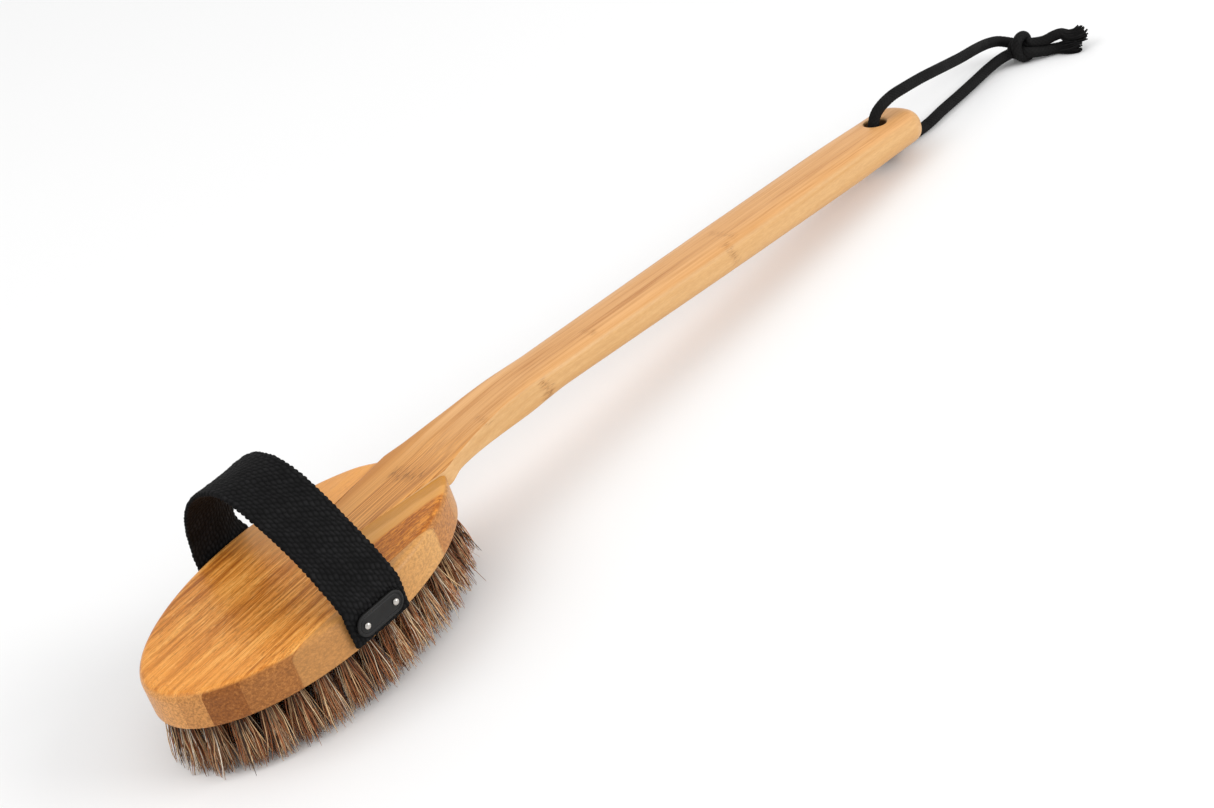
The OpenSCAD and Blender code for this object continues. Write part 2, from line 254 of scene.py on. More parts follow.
# ---- Node helper
class Shader:
    """Builds one material's nodes; a value given as a node output is linked, any other is set."""

    def __init__(self, name):
        self.material = bpy.data.materials.new(name)
        self.material.use_nodes = True
        self.tree = self.material.node_tree
        self.tree.nodes.clear()

    def add(self, kind, values=None, out=0, **settings):
        node = self.tree.nodes.new("ShaderNode" + kind)
        for key, value in settings.items():
            setattr(node, key, value)
        for key, value in (values or {}).items():
            socket = node.inputs[key]
            if isinstance(value, bpy.types.NodeSocket):
                self.tree.links.new(value, socket)
            else:
                socket.default_value = value
        return node.outputs[out]

    def math(self, operation, a, b=0.0, c=0.0):
        return self.add("Math", {0: a, 1: b, 2: c}, operation=operation)

    def scaled(self, vector, scale, offset=(0, 0, 0)):
        return self.add("Mapping", {"Vector": vector, "Scale": scale, "Location": offset})

    def noise(self, vector, scale=1.0, detail=4.0, rough=0.55, distort=0.0):
        return self.add("TexNoise", {"Vector": vector, "Scale": scale, "Detail": detail, "Roughness": rough,
                                     "Distortion": distort})

    def steps(self, value, stops, interpolation="LINEAR"):
        """A colour ramp; stops are (position, grey or colour)."""
        node = self.tree.nodes.new("ShaderNodeValToRGB")
        node.color_ramp.interpolation = interpolation
        elements = node.color_ramp.elements
        while len(elements) < len(stops):
            elements.new(0.5)
        for element, (at, tone) in zip(elements, stops):
            element.position = at
            element.color = (*tone, 1) if hasattr(tone, "__len__") else (tone, tone, tone, 1)
        self.tree.links.new(value, node.inputs[0])
        return node.outputs[0]

    def between(self, value, low, high, to_low=0.0, to_high=1.0):
        """The value moved from low to high onto to_low to to_high, and held inside it."""
        return self.add("MapRange", {"Value": value, "From Min": low, "From Max": high, "To Min": to_low,
                                     "To Max": to_high}, clamp=True)

    def mix(self, share, a, b, blend="MIX"):
        node = self.tree.nodes.new("ShaderNodeMix")
        node.data_type, node.blend_type = "RGBA", blend
        for index, value in ((0, share), (6, a), (7, b)):
            if isinstance(value, bpy.types.NodeSocket):
                self.tree.links.new(value, node.inputs[index])
            else:
                node.inputs[index].default_value = (*value, 1) if hasattr(value, "__len__") else value
        return node.outputs[2]

    def bump(self, height, strength, distance):
        return self.add("Bump", {"Height": height, "Strength": strength, "Distance": distance})

    def finish(self, values):
        shader = self.add("BsdfPrincipled", values)
        out = self.tree.nodes.new("ShaderNodeOutputMaterial")
        self.tree.links.new(shader, out.inputs[0])
        return self.material


def toned(colour, factor):
    """The colour made darker or lighter."""
    return tuple(factor * c for c in colour)


def store(obj, name, values):
    """Keeps one number per vertex under a name that a material reads."""
    layer = obj.data.attributes.new(name, "FLOAT", "POINT")
    layer.data.foreach_set("value", np.asarray(values, np.float32).ravel())


def put_grain(obj, straighten):
    """Keeps each vertex's place in the wood in millimetres: x along the fibres, y across and z up."""
    co = np.zeros(len(obj.data.vertices) * 3)
    obj.data.vertices.foreach_get("co", co)
    p = co.reshape(-1, 3) * 1000
    x = (p[:, 0] + MID_X) * COS + (p[:, 2] - LIFT) * SIN
    z = -(p[:, 0] + MID_X) * SIN + (p[:, 2] - LIFT) * COS
    grain = np.stack([x, p[:, 1], z - (top_z(x) if straighten else 0)], 1)
    layer = obj.data.attributes.new("grain", "FLOAT_VECTOR", "POINT")
    layer.data.foreach_set("vector", grain.astype(np.float32).ravel())


class Wood(Shader):
    """Laminated bamboo: x along the fibres, y across and z up, in millimetres."""

    def __init__(self, name, strips, seed):
        super().__init__(name)
        self.seed = seed
        self.grain = self.add("Attribute", out=1, attribute_name="grain")
        self.x = self.add("SeparateXYZ", {0: self.grain})
        self.y, self.z = self.x.node.outputs[1], self.x.node.outputs[2]
        up = self.add("SeparateXYZ", {0: self.add("NewGeometry", out=1)}, out=2)
        self.side = self.between(self.math("ABSOLUTE", up), 0.84, 0.60)  # 1 on the walls
        # each strip's pattern starts elsewhere, as it is its own piece of culm
        self.tone = self.across(strips)
        shift = self.add("CombineXYZ", {0: self.math("MULTIPLY", self.tone, 900.0),
                                        2: self.math("MULTIPLY", self.tone, 70.0)})
        self.own = self.add("VectorMath", {0: self.grain, 1: shift}, operation="ADD")

    def across(self, strips):
        """A value that is constant over each strip; strips are (place across where it starts, value)."""
        lowest, highest = strips[0][0], strips[-1][0]
        return self.steps(self.between(self.y, lowest, highest),
                          [((at - lowest) / (highest - lowest), level) for at, level in strips], "CONSTANT")

    def streaks(self, along, across, low, high, detail=5, rough=0.6, distort=0.0, offset=0.0):
        """Noise from 0 to 1 along the fibres; a larger figure gives finer streaks."""
        drawn = self.scaled(self.own, (along, across, across), (self.seed, offset, offset / 2))
        return self.between(self.noise(drawn, 1.0, detail, rough, distort), low, high)

    def off(self, value, at):
        """How far the value is from at."""
        return self.math("ABSOLUTE", self.math("SUBTRACT", value, at))

    def joints(self, strips, reach):
        """Thin lines where the strips meet."""
        line = None
        for at, _ in strips[1:-1]:
            near = self.between(self.off(self.y, at), 0.0, reach, 1.0, 0.0)
            line = near if line is None else self.math("MAXIMUM", line, near)
        return line

    def sum(self, *parts):
        """Parts are (share, value)."""
        total = None
        for share, value in parts:
            part = self.math("MULTIPLY", value, share)
            total = part if total is None else self.math("ADD", total, part)
        return total

    def product(self, *parts):
        total = parts[0]
        for part in parts[1:]:
            total = self.math("MULTIPLY", total, part)
        return total

    def knuckle(self, body, at, reach, dark, amount):
        """The band of short dark flecks where a culm's joint crosses a strip."""
        x0, y0, z0 = at
        flow = self.streaks(0.10, 1.1, 0.3, 0.7, detail=3, offset=13.0)
        across = self.product(self.between(self.off(self.y, y0), reach[1] * 0.8, reach[1], 1.0, 0.0),
                              self.between(self.off(self.z, z0), reach[2] * 0.8, reach[2], 1.0, 0.0))
        bent = self.math("ADD", self.x, self.math("MULTIPLY_ADD", flow, reach[0] * 1.3, -reach[0] * 0.65))
        band = self.product(self.between(self.off(bent, x0), 0.0, reach[0], 1.0, 0.0), across)
        fleck = self.product(band, self.streaks(0.35, 2.6, 0.46, 0.60, detail=3, offset=17.0))
        body = self.mix(self.product(band, 0.30 * amount), body, dark)
        return self.mix(self.product(fleck, 0.75 * amount), body, toned(dark, 0.34))


# where the head's strips meet, and the tone of each on top
STRIP_EDGES = (-41, -32.2, -24.3, -15.6, -7.8, 0.0, 7.8, 15.6, 24.3, 32.2, 41)
STRIP_TONES = (0.535, 0.47, 0.50, 0.485, 0.51, 0.515, 0.495, 0.505, 0.48, 0.535, 0.535)
HEAD_STRIPS = list(zip(STRIP_EDGES, STRIP_TONES))
# how pale each strip's edge is on the wall, at the toe and at the heel
TOE_WALL = list(zip(STRIP_EDGES, (0.28, 0.30, 0.13, 0.74, 0.95, 0.90, 0.95, 0.55, 0.30, 0.54, 0.54)))
HEEL_WALL = list(zip(STRIP_EDGES, (0.98, 0.12, 0.58, 0.80, 0.95, 0.85, 0.95, 0.80, 0.70, 0.95, 0.95)))
NEAR_STRIP_Y = -32.25


def head_wood():
    s = Wood("head_bamboo", HEAD_STRIPS, 3.0)
    dark, middle, pale = (0.54, 0.175, 0.022), (0.75, 0.290, 0.050), (0.93, 0.470, 0.120)
    broad = s.streaks(0.012, 0.17, 0.32, 0.68, detail=4, rough=0.55, distort=0.7)
    flame = s.streaks(0.030, 0.62, 0.33, 0.67, detail=6, rough=0.62, distort=0.6, offset=5.0)
    fine = s.streaks(0.085, 3.0, 0.32, 0.68, detail=4, offset=7.0)
    fleck = s.streaks(0.34, 1.9, 0.50, 0.60, detail=3, rough=0.7, offset=1.0)
    level = s.sum((0.38, broad), (0.36, flame), (0.26, fine))
    top = s.steps(level, [(0.22, (0.33, 0.090, 0.010)), (0.38, dark), (0.54, middle), (0.78, pale)])
    top = s.mix(s.product(fleck, s.between(flame, 0.80, 0.30, 0.20, 0.75)), top, toned(dark, 0.62))
    glint = s.streaks(0.22, 1.5, 0.54, 0.66, detail=3, rough=0.65, offset=31.0)
    top = s.mix(s.product(glint, s.between(flame, 0.2, 0.8, 0.10, 0.50)), top, (0.95, 0.56, 0.190))
    # the toe's top is bright orange with fine dark pores
    toeward = s.between(s.x, -34.0, -56.0)
    top = s.mix(s.product(toeward, 0.40), top, (0.82, 0.320, 0.045))
    pores = s.between(s.noise(s.scaled(s.grain, (0.8, 1.5, 1.5)), 1.0, 3, 0.6), 0.56, 0.63)
    rim = s.between(s.x, -50.0, -62.0)
    top = s.mix(s.product(pores, rim, 0.55), top, (0.36, 0.115, 0.022))
    # beside the tongue on the near side: an olive band of painted shade on the lip that falls to the tongue,
    # a pale band of painted highlight along the lip's ridge, and a dark flecked field of grain
    edge = s.math("MULTIPLY_ADD", s.x, math.tan(TAPER), TONGUE_HW - NECK_X * math.tan(TAPER))
    off = s.math("SUBTRACT", s.product(s.y, -1.0), edge)
    wavy = s.math("MULTIPLY_ADD", s.streaks(0.02, 0.12, 0.3, 0.7, detail=3, offset=19.0), 2.4, -1.2)
    off_wavy = s.math("ADD", off, wavy)
    near, heelward = s.between(s.y, 0.5, -0.5), s.between(s.x, -2.0, 10.0)
    beside = s.product(near, heelward)
    olive_lip_shade = s.mix(s.product(fine, 0.5), (0.50, 0.210, 0.030), (0.60, 0.285, 0.050))
    pale_ridge_highlight = s.mix(s.product(fine, 0.6), (0.69, 0.345, 0.090), (0.57, 0.245, 0.050))
    speck = s.streaks(0.42, 1.5, 0.47, 0.60, detail=3, rough=0.65, offset=41.0)
    field = s.mix(s.between(flame, 0.25, 0.75), (0.42, 0.125, 0.014), (0.70, 0.265, 0.036))
    brown = s.mix(s.product(speck, 0.75), field, (0.24, 0.062, 0.008))
    for full, gone, tone in ((11.8, 9.6, brown), (9.8, 11.2, pale_ridge_highlight), (5.2, 6.6, olive_lip_shade)):
        top = s.mix(s.product(beside, s.between(off_wavy, gone, full)), top, tone)
    # on the far side a plain reddish field
    far = s.math("SUBTRACT", heelward, beside)
    blush = s.mix(s.product(flame, 0.7), (0.74, 0.37, 0.130), (0.60, 0.25, 0.065))
    top = s.mix(s.product(far, 0.72), top, blush)
    # walls: the tone of each strip's edge, which changes from toe to heel, with fine grit
    toe_wall = s.mix(s.across(TOE_WALL), (0.230, 0.055, 0.002), (0.820, 0.380, 0.112))
    heel_wall = s.mix(s.across(HEEL_WALL), (0.480, 0.190, 0.045), (0.640, 0.335, 0.105))
    wall = s.mix(s.between(s.x, -8.0, 44.0), toe_wall, heel_wall)
    grit = s.noise(s.scaled(s.own, (0.80, 1.20, 1.20)), 1.0, 3, 0.75)
    wall = s.mix(s.between(grit, 0.38, 0.56, 0.75, 0.0), wall, s.mix(0.60, wall, (0.06, 0.015, 0.002)))
    wall = s.mix(s.between(grit, 0.54, 0.70, 0.0, 0.22), wall, (0.86, 0.440, 0.130))
    stain = s.streaks(0.02, 0.5, 0.35, 0.7, detail=3, distort=0.3, offset=23.0)
    wall = s.mix(s.product(stain, 0.22), wall, (0.34, 0.13, 0.038))
    body = s.mix(s.side, top, wall)
    # the outermost near strip shows its edge on top too, mixed with a painted highlight along that line where
    # the back's rounded edge begins
    outermost_edge_and_highlight = s.between(s.y, NEAR_STRIP_Y + 0.15, NEAR_STRIP_Y - 0.15)
    body = s.mix(s.product(outermost_edge_and_highlight, 0.8), body, s.mix(0.25, wall, (0.95, 0.560, 0.200)))
    line = s.joints(HEAD_STRIPS, 0.16)
    body = s.mix(s.product(line, 0.20), body, (0.24, 0.080, 0.018))
    relief = s.sum((0.6, fine), (0.5, flame), (-0.5, fleck), (-0.6, line))
    return s.finish({"Base Color": body, "Roughness": s.between(fine, 0.2, 0.9, 0.44, 0.33),
                     "Normal": s.bump(relief, 0.20, 0.0001), "Specular IOR Level": 0.20, "Coat Weight": 0.06,
                     "Coat Roughness": 0.2})


HANDLE_STRIPS = [(-20, 0.53), (-8.9, 0.50), (8.2, 0.465), (20, 0.465)]
# culm joints on the handle: place (x, y, depth), reach in the same directions, strength
KNUCKLES = [((54.0, -2.0, 0.0), (5.0, 7.5, 3.0), 1.0), ((88.0, -8.5, 0.0), (2.6, 4.0, 2.0), 0.5),
            ((118.0, -13.0, -7.0), (3.4, 4.0, 5.5), 0.9), ((150.0, -5.0, 0.0), (2.4, 3.5, 3.0), 0.5),
            ((226.0, -12.0, -5.0), (3.0, 4.5, 5.0), 0.6), ((232.0, -3.0, 0.0), (3.0, 7.0, 3.0), 0.4)]


def handle_wood():
    s = Wood("handle_bamboo", HANDLE_STRIPS, 21.0)
    dark, middle, pale = (0.46, 0.185, 0.046), (0.63, 0.315, 0.108), (0.74, 0.405, 0.165)
    broad = s.streaks(0.006, 0.20, 0.32, 0.68, detail=4, rough=0.55, distort=0.4)
    flame = s.streaks(0.014, 0.85, 0.33, 0.67, detail=5, distort=0.3, offset=5.0)
    fine = s.streaks(0.060, 3.6, 0.32, 0.68, detail=4, offset=7.0)
    level = s.sum((0.42, broad), (0.34, flame), (0.24, fine))
    top = s.steps(level, [(0.14, dark), (0.42, middle), (0.80, pale)])
    thread = s.streaks(0.030, 5.0, 0.60, 0.70, detail=3, offset=3.0)
    top = s.mix(s.product(thread, s.between(flame, 0.7, 0.3), 0.30), top, (0.36, 0.135, 0.032))
    # a darker strip runs along the far edge
    far_strip = s.product(s.between(s.y, 8.0, 8.5), s.between(fine, 0.2, 0.9, 0.85, 0.5))
    top = s.mix(far_strip, top, (0.55, 0.240, 0.062))
    cloud = s.streaks(0.010, 0.45, 0.3, 0.7, detail=4, distort=0.3, offset=11.0)
    wall = s.mix(cloud, (0.61, 0.335, 0.120), (0.69, 0.415, 0.178))
    grit = s.noise(s.scaled(s.own, (0.30, 1.8, 1.8)), 1.0, 4, 0.7)
    wall = s.mix(s.between(grit, 0.40, 0.62, 0.26, 0.0), wall, (0.46, 0.220, 0.070))
    wall = s.mix(s.product(thread, 0.22), wall, (0.38, 0.165, 0.046))
    # the tongue is browner, with straight ribbed fibres and a pale band; its darker far edge is painted
    # shade, where the tongue's top slopes away from the light
    tongueward = s.between(s.x, 88.0, 54.0)
    rib = s.streaks(0.020, 2.2, 0.40, 0.60, detail=3, rough=0.55, offset=29.0)
    ribbed = s.mix(rib, (0.36, 0.122, 0.020), (0.76, 0.355, 0.090))
    ribbed = s.mix(s.between(s.y, 2.6, 4.6, 0.0, 0.70), ribbed, (0.64, 0.300, 0.078))
    ribbed = s.mix(s.between(s.y, 9.2, 11.2, 0.0, 0.85), ribbed, (0.47, 0.180, 0.032))
    top = s.mix(s.product(tongueward, 0.88), top, ribbed)
    body = s.mix(s.side, top, wall)
    for at, reach, amount in KNUCKLES:
        body = s.knuckle(body, at, reach, dark, amount)
    # painted shade inside the hanging hole: its wall is darkened
    off_x = s.math("SUBTRACT", s.x, HOLE_X)
    off = s.math("SQRT", s.sum((1.0, s.product(off_x, off_x)), (1.0, s.product(s.y, s.y))))
    hole_shade = s.product(s.between(off, 6.0, 5.0), s.between(s.z, -0.4, -1.4))
    body = s.mix(s.product(hole_shade, 0.88), body, (0.045, 0.014, 0.005))
    line = s.joints(HANDLE_STRIPS, 0.14)
    body = s.mix(s.product(line, 0.16), body, (0.36, 0.14, 0.036))
    relief = s.sum((0.6, fine), (0.4, flame), (-0.6, thread), (0.5, s.product(rib, tongueward)))
    return s.finish({"Base Color": body, "Roughness": s.between(fine, 0.2, 0.9, 0.46, 0.36),
                     "Normal": s.bump(relief, 0.16, 0.0001), "Specular IOR Level": 0.27, "Coat Weight": 0.08,
                     "Coat Roughness": 0.22})


head_bamboo = head_wood()
handle_bamboo = handle_wood()


def hair_material():
    s = Shader("bristle_hair")
    tone = s.add("Attribute", out=2, attribute_name="tone")
    along = s.add("Attribute", out=2, attribute_name="along")
    place = s.add("TexCoord", out=3)
    mottle = s.noise(place, 900.0, 2)
    # nearly black, brown and red-brown hairs, then grey, straw and cream ones
    hair = s.steps(tone, [(0.0, (0.020, 0.010, 0.006)), (0.17, (0.080, 0.034, 0.016)),
                          (0.30, (0.32, 0.110, 0.042)), (0.52, (0.58, 0.215, 0.080)),
                          (0.60, (0.38, 0.235, 0.140)), (0.74, (0.76, 0.460, 0.235)),
                          (0.88, (0.92, 0.640, 0.340)), (1.0, (0.95, 0.840, 0.680))])
    # painted shade: darker towards the roots, under the head
    hair = s.mix(s.between(along, 0.0, 0.58, 0.78, 0.0), hair, (0.012, 0.007, 0.005))
    hair = s.mix(s.between(mottle, 0.35, 0.7, 0.0, 0.25), hair, (0.05, 0.03, 0.02))
    return s.finish({"Base Color": hair, "Roughness": 0.5, "Specular IOR Level": 0.28})


def yarn_material(name, base, fuzz_scale, gloss, shade_between_yarns, light_on_yarns):
    """Matt black yarn, with painted shade between the yarns and painted light on their tops; the attribute
    height is 0 between the yarns and 1 on top of them.
    """
    s = Shader(name)
    raised = s.add("Attribute", out=2, attribute_name="height")
    place = s.add("TexCoord", out=3)
    fuzz = s.noise(place, fuzz_scale, 5, 0.7)
    patch = s.noise(place, 140.0, 3, 0.6)
    dull = s.mix(s.between(patch, 0.35, 0.7), toned(base, 0.9), toned(base, 1.7))
    dull = s.mix(s.between(fuzz, 0.55, 0.8, 0.0, 0.5), dull, toned(base, 3.0))
    # painted shade in the gaps between the yarns and painted light on their tops, from the height attribute
    painted_light = s.between(raised, 0.0, 0.9, shade_between_yarns, light_on_yarns)
    dull = s.mix(1.0, dull, s.add("CombineColor", {0: painted_light, 1: painted_light, 2: painted_light}), "MULTIPLY")
    bump = s.bump(fuzz, 0.55, 0.0002)
    return s.finish({"Base Color": dull, "Roughness": 0.68, "Normal": bump, "Specular IOR Level": gloss})


def plate_material():
    s = Shader("plate_black")
    place = s.add("TexCoord", out=3)
    pebble = s.noise(place, 1900.0, 3, 0.6)
    scuff = s.noise(place, 260.0, 4, 0.65)
    base = s.mix(s.between(scuff, 0.35, 0.75), (0.0050, 0.0047, 0.0045), (0.0086, 0.0082, 0.0078))
    rough = s.between(scuff, 0.3, 0.7, 0.52, 0.40)
    return s.finish({"Base Color": base, "Roughness": rough, "Normal": s.bump(pebble, 0.25, 0.0001),
                     "Specular IOR Level": 0.30})


def metal_material(name, base, rough_low, rough_high):
    s = Shader(name)
    place = s.add("TexCoord", out=3)
    scratch = s.noise(s.scaled(place, (1, 1, 4)), 700.0, 3, 0.6)
    tint = s.mix(s.between(scratch, 0.3, 0.75), toned(base, 0.78), base)
    rough = s.between(scratch, 0.3, 0.75, rough_high, rough_low)
    return s.finish({"Base Color": tint, "Metallic": 1.0, "Roughness": rough,
                     "Normal": s.bump(scratch, 0.12, 0.00005)})


hair = hair_material()
webbing = yarn_material("webbing_cotton", (0.0047, 0.0046, 0.0048), 5200.0, 0.09, 0.05, 1.9)
cord_cotton = yarn_material("cord_cotton", (0.0060, 0.0058, 0.0058), 6500.0, 0.08, 0.25, 1.4)
plate_black = plate_material()
screw_steel = metal_material("screw_steel", (0.62, 0.59, 0.55), 0.12, 0.26)
wire_steel = metal_material("staple_wire", (0.62, 0.62, 0.60), 0.28, 0.45)


def dress(obj, material, body, slot, *nodes):
    """Material, body, slot (not used) and the CAD nodes that the piece stands for."""
    obj.data.materials.clear()
    obj.data.materials.append(material)
    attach(obj, body)
    if nodes:
        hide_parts(*nodes)
    return obj


# ---- Hanging cord: two strands from the handle's hole to the knot, and two frayed tails. The routes
# are in the row frame's directions, in millimetres, from the floor under the hole's top.
ROUTES = {
    "strand_upper": [(-1.7, 0, 13.2), (-1.9, 0, 17), (-1.2, 0, 21), (1.2, -0.4, 24.6), (5.5, -1.2, 26.8),
                     (12.5, -1.8, 27.6), (21, -2.4, 27), (31.5, -2.4, 25.5), (42, -2.2, 23.5), (53, -1.4, 21),
                     (65, 0.2, 18), (77, 2.5, 15), (86, 4.6, 12.4), (94, 5.8, 10), (100, 5, 8),
                     (102.6, 1.2, 6.4), (103.5, -3, 5.2)],
    "strand_lower": [(-1.6, 0, 12.8), (-0.9, 0.3, 9.6), (1.2, 1.2, 6.2), (5, 3.4, 3.5), (10, 4.8, 2.5),
                     (18, 4, 2.4), (27, 1.6, 2.4), (36, 0.8, 2.4), (47, 1.3, 2.4), (60, 1.3, 2.4),
                     (74, 1.5, 2.5), (85, 1.2, 3.0), (91.5, -1.0, 4.2), (96, -4.6, 5.4)],
    "tail_upper": [(99.2, -2.2, 6.4), (100.6, -5, 6.8), (102.2, -9.8, 6.9), (105.6, -14.6, 6.6),
                   (109.0, -18.0, 7.6), (110.8, -20.8, 8.0), (111.0, -24.0, 7.0), (112.6, -26.4, 6.6),
                   (115.6, -28.0, 6.8)],
    "tail_lower": [(96.8, -1.8, 5.6), (98, -6, 5.2), (98.6, -11, 4.4), (103.6, -15.2, 2.9),
                   (107.6, -18.9, 2.5), (109.4, -23.6, 2.5), (111.6, -28, 2.5)],
}
ROUTE_STEP, PATH_EVERY = 0.33, 6
BRAID_UP = (0.0, 0.31, 0.95)
KNOT_AT, KNOT_TURN = (100.0, -7.0, 6.55), 65.0  # its centre, and its turn about Z in degrees
KNOT_WRAPS, KNOT_L, KNOT_RY, KNOT_RZ, KNOT_CORD_R = 1.78, 6.2, 4.15, 4.3, 2.2
FRAY_YARNS, FRAY_SIDES, FRAY_LEVELS, FRAY_STEPS = 96, 6, 14, 40


def braid(theta, run, plaits=8, pitch=13.0):
    """Height of a round braid's yarns: two crossing sets of helices that pass over and under in turn."""
    wound = 2 * math.pi * run / pitch
    a, b = (theta + wound) * plaits / 2, (theta - wound) * plaits / 2
    return np.maximum(np.abs(np.sin(a)) ** 0.8 * (0.55 + 0.45 * np.sign(np.sin(2 * b))),
                      np.abs(np.sin(b)) ** 0.8 * (0.55 - 0.45 * np.sign(np.sin(2 * b))))


def braided_tube(name, line, radius, sides=40, relief=0.17):
    """A mesh tube in metres along a line in millimetres of the row frame, with rounded ends."""
    _, u, v = frames_along(line, BRAID_UP)
    run = running(line)
    theta = circle(sides)[None, :]
    height = braid(theta, run[:, None])
    close = np.minimum(1, np.minimum(run, run[-1] - run) / 0.9)[:, None] ** 0.5
    r = (radius - relief * 0.6 + relief * height) * (0.45 + 0.55 * close)
    points = rings_round(line, r, u, v, theta)
    points[..., 2] = np.maximum(points[..., 2], 0.02)
    tube = loft(name, points / 1000)
    store(tube, "height", height)
    return tube


def make_knot():
    """The overhand knot: a thick band of cord wound round the two strands."""
    turns = np.linspace(0, 2 * math.pi * KNOT_WRAPS, 150)
    share = turns / turns[-1]
    # the band's two ends dive under its middle
    swell = 1 - 0.55 * np.maximum(0, np.abs(share - 0.5) * 2 - 0.78) / 0.22
    x = KNOT_L * (ease(share) - 0.5) + 1.2 * np.sin(turns * 0.9 + 1.0)
    y = KNOT_RY * swell * np.cos(turns + 2.2)
    z = KNOT_RZ * swell * np.sin(turns + 2.2)
    line = resample(np.stack([x, y, z], 1), 0.3)
    knot = braided_tube("cord_knot_wrap", turn_z(line, KNOT_TURN) + (CORD_X, 0, 0) + KNOT_AT, KNOT_CORD_R, 36)
    return dress(knot, cord_cotton, "hang_loop", "cord", "cord_knot")


def frayed_end(name, line):
    """The unravelled part of a tail: its yarns spread into a ragged brush."""
    tangent, u, v = frames_along(line, BRAID_UP)
    first, last = len(line) - FRAY_STEPS, len(line) - 4
    t = np.linspace(0, 1, FRAY_LEVELS)
    at = first + (last - first) * np.minimum(t / 0.8, 1)
    low = np.floor(at).astype(int)
    along = line[low] + (line[np.minimum(low + 1, len(line) - 1)] - line[low]) * (at - low)[:, None]
    points, faces = [], []
    for _ in range(FRAY_YARNS):
        angle = rng.uniform(0, 2 * math.pi)
        out = 2.0 * math.sqrt(rng.uniform(0.02, 1))
        # past the cord's end each yarn runs on by its own length
        centre = along + tangent[-4] * (rng.uniform(-1.2, 2.6) * np.maximum(0, t - 0.8)[:, None] / 0.2)
        grow = 0.95 + rng.uniform(0.45, 0.95) * ease(t / 0.85)
        twist = angle + rng.normal(0, 0.5) * t
        sway = 0.30 * np.sin(2 * math.pi * (t * rng.uniform(0.7, 1.3) + rng.uniform()))
        away = out * grow + sway * t
        yarn = centre + (away * np.cos(twist))[:, None] * u[low] + (away * np.sin(twist))[:, None] * v[low]
        thick = rng.uniform(0.34, 0.52)
        yarn[:, 2] = np.maximum(yarn[:, 2], thick + 0.05)
        _, a, b = frames_along(yarn, (0.1, 0.3, 0.95))
        faces += tube_faces(FRAY_LEVELS, FRAY_SIDES, len(points) * FRAY_LEVELS * FRAY_SIDES)
        points.append(rings_round(yarn, (thick * (1 - 0.25 * t))[:, None], a, b, circle(FRAY_SIDES)[None, :]))
    fray = piece(name, np.array(points) / 1000, faces)
    store(fray, "height", rng.uniform(0.2, 1.0, len(fray.data.vertices)))
    return dress(fray, cord_cotton, "hang_loop", "cord")


def make_cord():
    knot = make_knot()
    for name, route in ROUTES.items():
        line = smooth_line(np.asarray(route, float) + (CORD_X, 0, 0), ROUTE_STEP)
        tube = braided_tube("cord_" + name + "_braid", line, CORD_D / 2)
        dress(tube, cord_cotton, "hang_loop", "cord", "cord_" + name)
        extras, end = [], "knot"
        if name == "strand_upper":
            extras = [knot]
        elif name.startswith("tail"):
            extras, end = [frayed_end("cord_" + name + "_fray", line)], "bare"
        round(length_of(line) / 1000, 4)


make_cord()


# ---- Head
def near_edge(x):
    """Half width of the tongue's top on its near side."""
    return TONGUE_HW - (NECK_X - np.asarray(x, float)) * math.tan(TAPER)


def far_edge(x):
    """Half width of the tongue's top on its far side."""
    return FAR_HW - (NECK_X - np.asarray(x, float)) * math.tan(FAR_TAPER)


def lip(x, y):
    """How far the back dips towards the groove and towards the heel."""
    off = np.where(y < 0, (-y - near_edge(x)) / 9.5, (y - far_edge(x)) / 7.0)
    heel = HEEL_DROP * ease((np.asarray(x, float) - 28) / 34) * (1 - ease((np.abs(y) - 26) / 10))
    return DROP * (1 - ease(off)) * ease((x - TIP_X + 12) / 12) + heel


def oval(p, q, n):
    t = circle(n)
    return p * np.cos(t), q * np.sin(t)


def groove(gap=0.12):
    """The tapered dovetail groove, wider than the tongue by gap all round and open at the heel."""
    rings = []
    turn = np.linspace(math.pi / 2, 3 * math.pi / 2, 33)
    mouth = HALF_L + 20
    for z in (-TONGUE_T - 0.1, 4.0):
        wide = gap - z * math.tan(DOVETAIL)
        near, far = float(near_edge(TIP_X)) + wide, float(far_edge(TIP_X)) + wide
        tip = [(TIP_X + (TIP_L + wide) * math.cos(t), (far - near) / 2 + (far + near) / 2 * math.sin(t))
               for t in turn]
        ends = np.linspace(-float(near_edge(mouth)) - wide, float(far_edge(mouth)) + wide, 25)
        rings.append([(x, y, z) for x, y in tip + [(mouth, y) for y in ends]])
    return loft("groove", lying(rings))


def steps_round(inset, n):
    """n even steps of arc round the head's outline, set in from it."""
    p, q = HALF_L - inset, HALF_W - inset
    t = np.linspace(0, 2 * math.pi, 3601)
    run = running(np.stack([p * np.cos(t), q * np.sin(t)], 1))
    at = np.interp((np.arange(n) + 0.5) / n * run[-1], run, t)
    return [(p * math.cos(a), q * math.sin(a)) for a in at]


def straight(n, y, gap=9.6):
    return [((i - (n - 1) / 2) * gap, y) for i in range(n)]


# Places of the tufts, how far they lean out in degrees, and hairs in each
TUFTS = {"tuft_ring_outer": (steps_round(6, 31), 6.0, 120),
         "tuft_ring_inner": (steps_round(15.4, 25), 3.0, 96),
         "tuft_row_near": (straight(6, -8.8), 0.0, 80),
         "tuft_row_centre": (straight(9, 0.0), 0.0, 80),
         "tuft_row_far": (straight(6, 8.8), 0.0, 80)}


